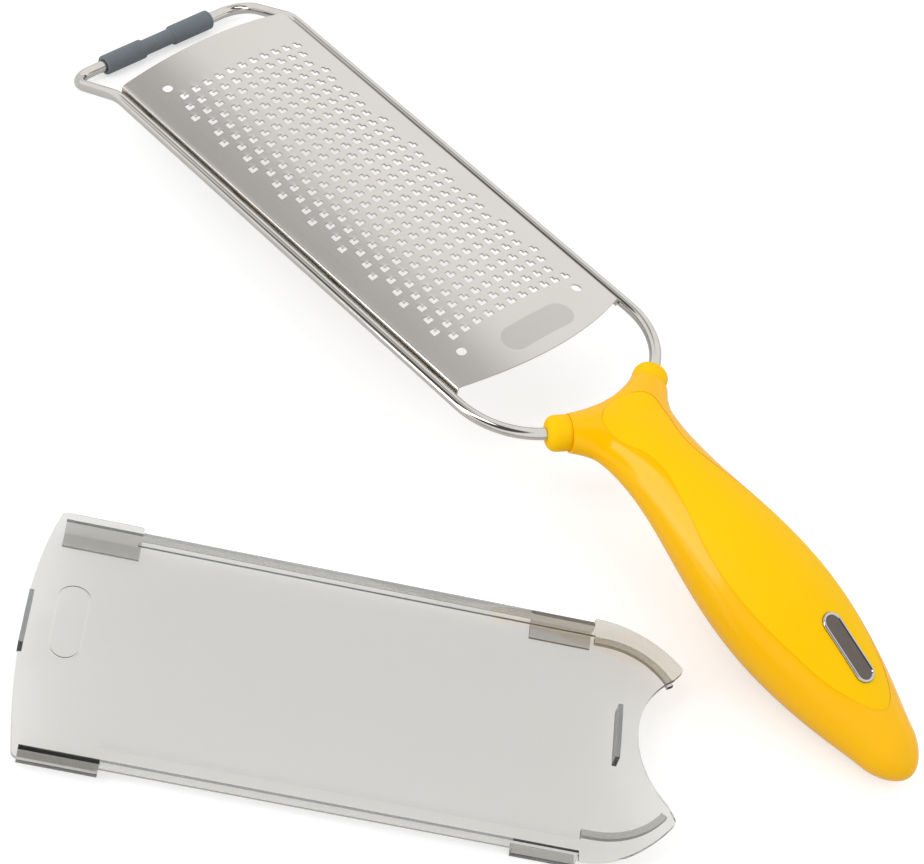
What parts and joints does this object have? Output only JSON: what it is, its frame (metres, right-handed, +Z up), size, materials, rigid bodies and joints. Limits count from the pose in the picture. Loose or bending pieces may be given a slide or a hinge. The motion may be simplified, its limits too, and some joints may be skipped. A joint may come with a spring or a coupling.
{
  "type": "fine grater",
  "caption": "Hand-held fine grater: arched perforated steel blade in a bent wire frame with a rubber foot sleeve, a drooping two-material handle, and a clear slip-on blade cover beside it.",
  "frame": {"origin": "middle of the box around the grater and the cover beside it, at table height", "axes": "+X from the blade's tip to the handle's end, +Y to the side away from the cover, +Z up"},
  "size_m": [0.3216, 0.2246, 0.0361],
  "materials": {
    "blade_steel": "satin stainless sheet",
    "wire_steel": "polished stainless wire",
    "weld_metal": "heat-tinted weld bead",
    "soft_plastic": "soft matte grip plastic",
    "sleeve_rubber": "grey rubber",
    "hard_plastic": "glossy hard plastic",
    "badge_chrome": "bright plated capsule, bare",
    "cover_plastic": "clear smoke-grey plastic"
  },
  "bodies": {
    "grater": {"blade": "blade_steel", "wire_frame": "wire_steel", "weld_near_1": "weld_metal", "weld_near_2": "weld_metal", "weld_near_3": "weld_metal", "weld_near_4": "weld_metal", "weld_far_1": "weld_metal", "weld_far_2": "weld_metal", "weld_far_3": "weld_metal", "weld_far_4": "weld_metal", "ear_collar_near": "soft_plastic", "ear_collar_far": "soft_plastic", "foot_sleeve": "sleeve_rubber", "handle_body": "hard_plastic", "soft_inlay": "soft_plastic", "badge": "badge_chrome"},
    "cover": {"blade_cover": "cover_plastic"}
  },
  "joints": [
    {"name": "cover_lift", "type": "slide", "parent": "grater", "child": "cover", "axis": [0, 0, 1], "range_m": [0, 0.08]}
  ]
}
